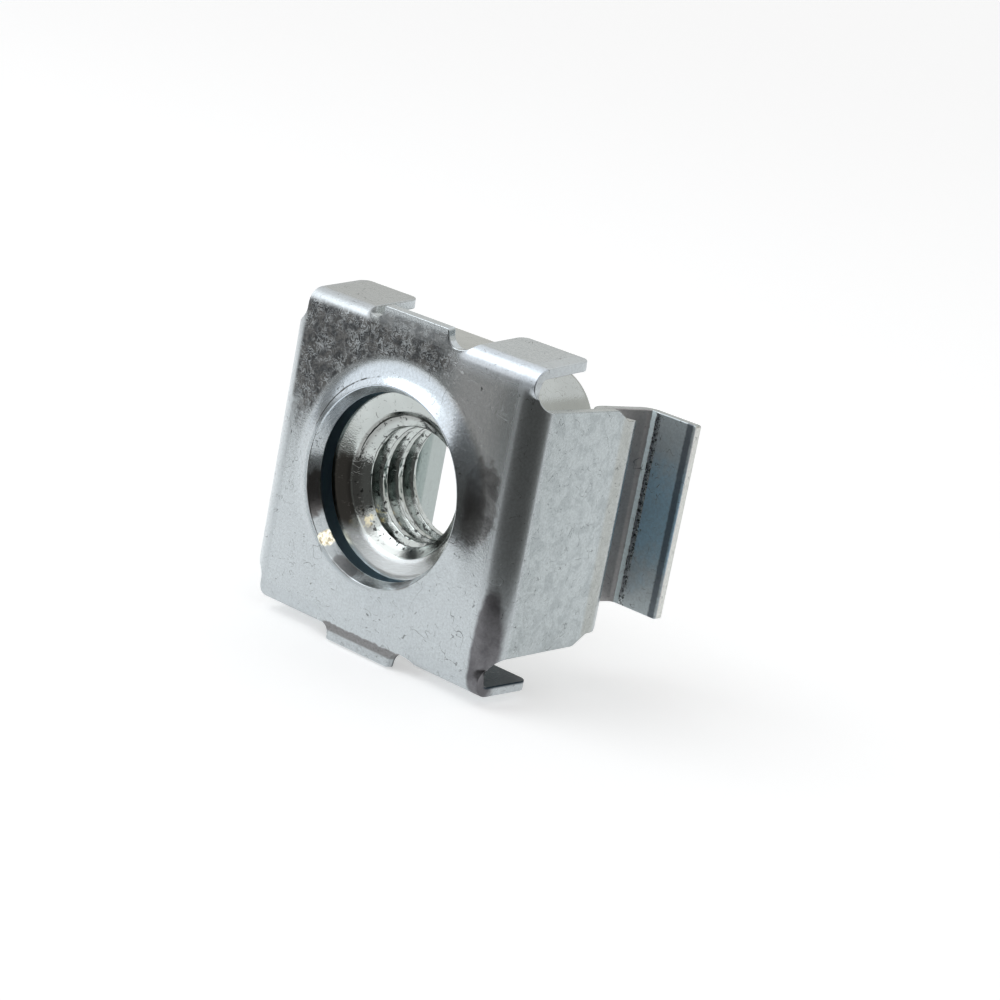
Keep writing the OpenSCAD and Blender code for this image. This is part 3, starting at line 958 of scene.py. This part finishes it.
        # Painted shade, brownish, on the rim's inner wall at the left and along the bottom
        left = soft_patch(w, (-3.92, -0.1, -1.5), (0.6, 0.8, 1.25), 0.8)
        low = soft_patch(w, (-1.32, -0.1, -4.04), (0.9, 0.8, 0.5), 1.2)
        low_right = soft_patch(w, (2.1, -0.1, -3.75), (1.0, 0.8, 0.35), 1.2)
        wall_shade = w.most(left, w.product(w.most(low, low_right), 0.7))
        wall = w.product(w.fade(self.radius, 4.42, 4.52), self.outer)
        self.lay(WALL_SHADE_BROWN, 0.85, wall_shade, wall)
        # Painted bluish reflection on the rim's upper crown
        crown = w.product(w.fade(self.radius, 5.2, 5.6), w.rise(self.up, 0.5, 3.0))
        self.lay(CROWN_REFLECTION_BLUE, 0.6, crown, self.outer)
        # A thin, broken dark line along the crest's upper left
        crest_line = w.product(w.band(self.radius, 4.78, 0.015, 0.05), w.fade(self.right, -1.6, -1.2))
        broken = w.rise(w.noise(self.place, 1.3, 2.0, 0.6), 0.38, 0.5)
        self.lay(CREST_LINE_BLACK, 1.0, crest_line, w.rise(self.up, 1.3, 1.6), broken, self.outer)

    def necks_and_lips(self):
        """Painted shade on the insides and necks, and lips with a painted bluish reflection, a bright,
        cracked corner (its brightness a painted highlight) and a dark margin.
        """
        w = self.w
        # Painted shade on the sheet's inner face along the legs
        inside = w.product(w.rise(self.depth, 0.3, 0.42), w.rise(self.across, 8.0, 8.5))
        self.lay(INSIDE_SHADE_GREY, 0.9, inside)
        # Painted shade on the necks
        self.neck = w.product(w.band(self.across, NECK_MIDDLE, 1.5, 1.6), self.outer)
        self.lay(NECK_SHADE_GREY, 0.75, self.neck)
        # Painted reflection, bluish and grey, over the lips
        self.lip = w.product(w.rise(self.across, 20.0, 20.2), self.outer)
        patchy = w.math("ADD", self.level, w.product(w.noise(self.place, 0.9, 4.0, 0.65), 5.0))
        lip_reflection = w.mix(w.rise(patchy, 3.0, 6.5), LIP_REFLECTION_BLUE, LIP_REFLECTION_GREY)
        self.lay(lip_reflection, 0.9, self.lip)
        # Painted highlight along the bend between neck and lip
        self.corner = w.product(w.band(self.wavy, LIP_CORNER, 0.13, 0.19), self.outer)
        self.lay(CORNER_HIGHLIGHT_WHITE, 1.0, self.corner)
        shards = w.rise(w.noise(self.place, 11.0, 2.0, 0.6, 1.0), 0.42, 0.5)
        crack = w.mix(shards, CRACK_BLACK, SHARD)
        self.lay(crack, 1.0, w.band(self.wavy, LIP_CRACK, 0.12, 0.18), self.outer)
        self.lay(LIP_DARK, 0.8, w.band(self.wavy, LIP_MARGIN, 0.12, 0.22), self.outer)
        # The lips' sheared ends and the hollow behind the lower tabs
        tip = w.product(w.rise(self.across, 22.0, 22.1), w.rise(self.depth, 0.02, 0.05))
        self.lay(TIP_GREY, 1.0, tip)
        # Painted shade, near black, in the hollow behind the lower tabs
        pocket = w.product(w.rise(self.depth, 0.3, 0.42), w.fade(self.up, -7.0, -6.8))
        self.lay(POCKET_SHADE_BLUE, 1.0, pocket)

    def wear(self):
        """Hair scratches and grain over everything."""
        w = self.w
        self.lay(HAIR_GREY, 0.85, self.scratches["Hairs"])
        grain = w.rise(self.scratches["Grain"], 0.3, 0.7)
        self.base = w.mix(grain, w.mix(0.14, self.base, BLACK), self.base)

    def surface(self):
        """How rough, how metallic and how uneven each part of the sheet is."""
        w = self.w
        side = w.band(self.across, SIDE_BEND, 0.6, 0.9)
        rough = w.math("ADD", 0.17, w.product(self.broad, 0.08))
        for mask, more in ((w.most(self.dark, self.fold), 0.12), (side, 0.08),
                           (w.most(self.lip, self.neck, self.corner), 0.3)):
            rough = w.math("ADD", rough, w.product(mask, more))
        metallic = w.math("SUBTRACT", 1.0, w.product(self.corner, 0.9))
        w.feed(metallic, self.shader.inputs["Metallic"])
        worms = w.product(self.figure["Threads"], self.dark, 0.5)
        height = w.math("ADD", w.product(self.scratches["Grain"], 0.5), worms)
        height = w.math("SUBTRACT", height, w.product(self.scratches["Hairs"], 0.3))
        return self.close(rough, height, 0.4)


def plated_cage(colour):
    """Bright zinc on the spring sheet, with its figure, dark patches and scratches, and painted light and
    shade.
    """
    coat = CageCoat(colour)
    coat.blotches()
    coat.folds()
    coat.legs()
    coat.stains_and_painted_light()
    coat.raised_rim()
    coat.necks_and_lips()
    coat.wear()
    return coat.surface()


def plated_nut(colour):
    """Bright zinc on the turned and pressed nut."""
    coat = Coat("Bright zinc nut", colour, 0.86, 0.4, 1.6)
    w, radius, scratches = coat.w, coat.radius, coat.scratches
    away, up = w.parts(coat.place)[1:3]
    coat.lay(NUT_HAIR, 0.7, scratches["Hairs"])
    # Painted shade in the thread's grooves, and specks along its crests
    coat.lay(GROOVE_SHADE_GREY, 0.55, w.rise(radius, 2.75, 3.0), w.fade(radius, 3.14, 3.2))
    specks = w.rise(w.noise(coat.place, 4.2, 2.0, 0.6), 0.61, 0.65)
    coat.lay(SPECK, 0.85, specks, w.fade(radius, 3.1, 3.2))
    # The face round the collar is dull, and painted bluish as a reflection
    face = w.product(w.rise(radius, 4.1, 4.14), w.fade(radius, 5.0, 5.4), w.fade(away, 1.3, 1.5))
    coat.lay(FACE_REFLECTION_BLUE, 0.9, face)
    # Painted shade, brown, on the collar's left, a painted pale reflection at its bottom, and darker
    # corners
    ring = w.product(w.rise(radius, 3.18, 3.26), w.fade(radius, 4.1, 4.14), w.fade(away, 2.5, 3.0))
    shade = soft_patch(w, (-3.5, 0.9, -1.5), (1.3, 3.0, 2.1), 0.5)
    coat.lay(PAINTED_SHADE_BROWN, 0.85, shade, ring)
    pale_reflection = w.product(w.fade(up, -3.0, -2.4), ring)
    coat.lay(PALE_REFLECTION_WHITE, 0.8, pale_reflection)
    coat.lay(NUT_CORNER, 0.4, w.rise(radius, 5.4, 5.8), w.fade(away, 5.1, 5.2))
    # Painted warm glints in the thread's lower left
    flecks = w.rise(w.noise(coat.place, 3.5, 2.0, 0.6), 0.48, 0.56)
    warm_glints = soft_patch(w, (-2.3, 2.2, -2.4), (0.7, 1.4, 0.7), 1.0)
    coat.lay(WARM_GLINT, 0.6, warm_glints, flecks)
    rough = w.math("ADD", 0.06, w.product(coat.broad, 0.06))
    rough = w.math("ADD", rough, w.product(pale_reflection, 0.16))
    rough = w.math("ADD", rough, w.product(face, 0.4))
    coat.shader.inputs["Metallic"].default_value = 1.0
    return coat.close(rough, w.math("SUBTRACT", scratches["Grain"], scratches["Hairs"]), 0.25)


# ---------------------------------------------------------------- operators

class CAGENUT_OT_cage(bpy.types.Operator):
    """Fold the spring cage and plate it"""
    bl_idname = "cagenut.cage"
    bl_label = "Fold the cage"

    def execute(self, context):
        scene = context.scene
        piece = folded_sheet("folded_cage", scene.cagenut_sheet)
        piece.data.materials.append(plated_cage(scene.cagenut_finishes.zinc))
        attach(piece, "root")
        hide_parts("spring_cage")
        return {"FINISHED"}


class CAGENUT_OT_nut(bpy.types.Operator):
    """Cut the square nut with its thread and plate it"""
    bl_idname = "cagenut.nut"
    bl_label = "Cut the nut"

    def execute(self, context):
        scene = context.scene
        piece = threaded_nut("threaded_nut", scene.cagenut_nut)
        piece.data.materials.append(plated_nut(scene.cagenut_finishes.nut_zinc))
        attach(piece, "root")
        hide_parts("square_nut")
        return {"FINISHED"}


def softbox(name, place, width, height, power, colour):
    """A large soft lamp that points at the part."""
    data = bpy.data.lights.new(name, "AREA")
    data.shape, data.size, data.size_y = "RECTANGLE", width, height
    data.energy, data.color = power, colour
    lamp = bpy.data.objects.new(name, data)
    lamp.location = place
    lamp.rotation_euler = (-Vector(place)).to_track_quat("-Z", "Y").to_euler()
    bpy.context.scene.collection.objects.link(lamp)


def mirror_screen(name, bottom, foot):
    """A screen that only mirrored rays see. Its foot line is x, y, top (all in mm) and grey."""
    count = len(foot)
    places = [(x * MM, y * MM, bottom) for x, y, top, grey in foot]
    places += [(x * MM, y * MM, top * MM) for x, y, top, grey in foot]
    mesh = bpy.data.meshes.new(name)
    mesh.from_pydata(places, [], [(i, i + 1, count + i + 1, count + i) for i in range(count - 1)])
    shade = mesh.color_attributes.new("shade", "FLOAT_COLOR", "POINT")
    for i, (x, y, top, grey) in enumerate(foot):
        for k in (i, i + count):
            shade.data[k].color = (grey, grey * 0.99, grey * 0.95, 1)
    piece = bpy.data.objects.new(name, mesh)
    bpy.context.scene.collection.objects.link(piece)
    material = bpy.data.materials.new(name)
    material.use_nodes = True
    material.node_tree.nodes.clear()
    w = Wiring(material.node_tree)
    colour = w.add("ShaderNodeVertexColor", layer_name="shade").outputs["Color"]
    glow = w.add("ShaderNodeEmission", {"Color": colour})
    w.add("ShaderNodeOutputMaterial", {"Surface": glow.outputs[0]})
    mesh.materials.append(material)
    piece.visible_camera = False
    piece.visible_diffuse = False
    piece.visible_shadow = False


def seen_rays(w):
    """1 for rays that end in the eye, straight or mirrored, and 0 for those that only light."""
    rays = w.add("ShaderNodeLightPath").outputs
    return w.most(rays["Is Camera Ray"], rays["Is Glossy Ray"], rays["Is Transmission Ray"])


# The floor lies just under the part. Part of the room's light is only seen and lights nothing
FLOOR_Z, FLOOR_HALF = -7.7 * MM, 0.9
SEEN_ONLY = 0.45
# The screens in front of the part, from its left round to its right, and behind it
FRONT_FOOT = [
    (-70, 40, 7, 0.22), (-85, 0, 7, 0.22), (-60, -38, 5, 0.2), (-31, -27, 3, 0.22),
    (-20, -23.7, 3, 0.24), (-9.4, -19, 3, 0.22), (0, -16, 9, 0.1), (10, -11, 13, 0.08),
    (16, -6, 13, 0.08), (19, 1, 8, 0.08), (20, 8, 5, 0.16), (19.5, 14, 4, 0.25)]
REAR_FOOT = [(90, 30, 60, 0.75), (20, 90, 60, 0.7), (-60, 80, 60, 0.7), (-95, 30, 60, 0.8)]


class CAGENUT_OT_stage(bpy.types.Operator):
    """Lay the floor and place the lamps and the camera"""
    bl_idname = "cagenut.stage"
    bl_label = "Set the stage"

    def execute(self, context):
        scene = context.scene
        scene.view_settings.view_transform = "Standard"
        self.floor(scene)
        self.surroundings(scene)
        self.camera(scene)
        return {"FINISHED"}

    def floor(self, scene):
        corners = [(FLOOR_HALF * x, FLOOR_HALF * y, FLOOR_Z)
                   for x, y in ((-1, -1), (1, -1), (1, 1), (-1, 1))]
        mesh = bpy.data.meshes.new("floor")
        mesh.from_pydata(corners, [], [(0, 1, 2, 3)])
        floor = bpy.data.objects.new("floor", mesh)
        scene.collection.objects.link(floor)
        material, w, shader = start_material("Pale floor")
        shader.inputs["Base Color"].default_value = tuple(scene.cagenut_finishes.floor)
        shader.inputs["Roughness"].default_value = 0.9
        shader.inputs["Emission Color"].default_value = (1, 1, 1, 1)
        w.feed(w.product(seen_rays(w), SEEN_ONLY), shader.inputs["Emission Strength"])
        mesh.materials.append(material)

    def surroundings(self, scene):
        scene.world = bpy.data.worlds.new("Pale room")
        scene.world.use_nodes = True
        scene.world.node_tree.nodes.clear()
        w = Wiring(scene.world.node_tree)
        level = w.math("ADD", 1 - SEEN_ONLY, w.product(seen_rays(w), SEEN_ONLY))
        back = w.add("ShaderNodeBackground", {"Color": (1, 1, 1, 1), "Strength": level})
        w.add("ShaderNodeOutputWorld", {"Surface": back.outputs[0]})
        softbox("window_softbox", (-0.09, -0.1, 0.17), 0.17, 0.17, 0.14, (0.93, 0.97, 1))
        mirror_screen("front_screen", FLOOR_Z, FRONT_FOOT)
        mirror_screen("rear_screen", 2 * MM, REAR_FOOT)

    def camera(self, scene):
        data = bpy.data.cameras.new("camera")
        data.sensor_width, data.lens = 36, 102.01
        data.shift_x, data.shift_y = -0.01369, 0.02798
        data.clip_start, data.clip_end = 0.005, 10
        right = Vector((0.7355245, 0.651445, 0.1860729))
        up = Vector((-0.3077476, 0.0765804, 0.9483812))
        back = Vector((0.6035687, -0.7548211, 0.2568074))
        place = Vector((0.0783268, -0.0888493, 0.0307452))
        eye = bpy.data.objects.new("camera", data)
        turn = Matrix((right, up, back)).transposed().to_4x4()
        eye.matrix_world = Matrix.Translation(place) @ turn
        scene.collection.objects.link(eye)
        scene.camera = eye


class CAGENUT_PT_panel(bpy.types.Panel):
    """Lists the steps and sizes"""
    bl_label = "Cage nut"
    bl_idname = "CAGENUT_PT_panel"
    bl_space_type = "VIEW_3D"
    bl_region_type = "UI"
    bl_category = "Cage nut"

    def draw(self, context):
        layout = self.layout
        for operator in OPERATORS:
            layout.operator(operator.bl_idname)
        for key, group in GROUPS.items():
            box = layout.box()
            for name in group.__annotations__:
                box.prop(getattr(context.scene, key), name)


OPERATORS = (CAGENUT_OT_stage, CAGENUT_OT_cage, CAGENUT_OT_nut)
GROUPS = {"cagenut_sheet": SheetSizes, "cagenut_nut": NutSizes, "cagenut_finishes": Finishes}


def register():
    for kind in (*GROUPS.values(), *OPERATORS, CAGENUT_PT_panel):
        bpy.utils.register_class(kind)
    for key, group in GROUPS.items():
        setattr(bpy.types.Scene, key, bpy.props.PointerProperty(type=group))


def unregister():
    for key in GROUPS:
        delattr(bpy.types.Scene, key)
    for kind in reversed((*GROUPS.values(), *OPERATORS, CAGENUT_PT_panel)):
        bpy.utils.unregister_class(kind)


def main():
    register()
    bpy.ops.cagenut.stage()
    bpy.ops.cagenut.cage()
    bpy.ops.cagenut.nut()


if __name__ == "__main__":
    main()
